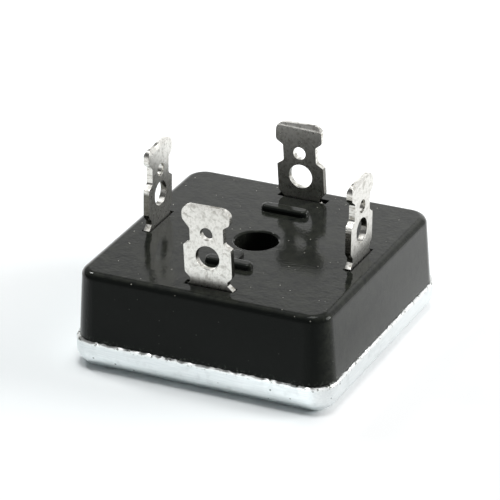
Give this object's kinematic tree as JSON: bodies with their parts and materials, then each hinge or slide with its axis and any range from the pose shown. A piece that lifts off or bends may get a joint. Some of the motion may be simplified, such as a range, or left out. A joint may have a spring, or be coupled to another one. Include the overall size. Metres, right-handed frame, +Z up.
{
  "type": "bridge rectifier",
  "caption": "Square bridge rectifier: moulded black case in a drawn aluminium base, centre mounting hole and stamped quick-connect lugs, with its diode assembly potted inside.",
  "frame": {"origin": "centre of the underside of the metal base, on the axis of the mounting hole", "axes": "+Z up along the mounting hole, towards the lugs; +X and +Y square to the sides; the positive lug stands at -Y, the negative at +Y and the two AC lugs at -X and +X"},
  "size_m": [0.035, 0.035, 0.0238],
  "materials": {
    "base_aluminium": "satin",
    "case_moulding": "gloss",
    "tinned_lug": "satin",
    "bare_copper": "satin",
    "insulator_ceramic": "matte",
    "silicon": "gloss",
    "solder": "satin",
    "potting_resin": "matte"
  },
  "bodies": {
    "root": {"ac_strap_left": "bare_copper", "ac_strap_right": "bare_copper", "case": "case_moulding", "diode_die_1": "silicon", "diode_die_2": "silicon", "diode_die_3": "silicon", "diode_die_4": "silicon", "heatsink_base": "base_aluminium", "insulator_plate": "insulator_ceramic", "negative_spreader": "bare_copper", "positive_spreader": "bare_copper", "potting": "potting_resin", "solder_lower_1": "solder", "solder_lower_2": "solder", "solder_lower_3": "solder", "solder_lower_4": "solder", "solder_upper_1": "solder", "solder_upper_2": "solder", "solder_upper_3": "solder", "solder_upper_4": "solder", "terminal_ac_left": "tinned_lug", "terminal_ac_right": "tinned_lug", "terminal_negative": "tinned_lug", "terminal_positive": "tinned_lug"}
  },
  "joints": []
}
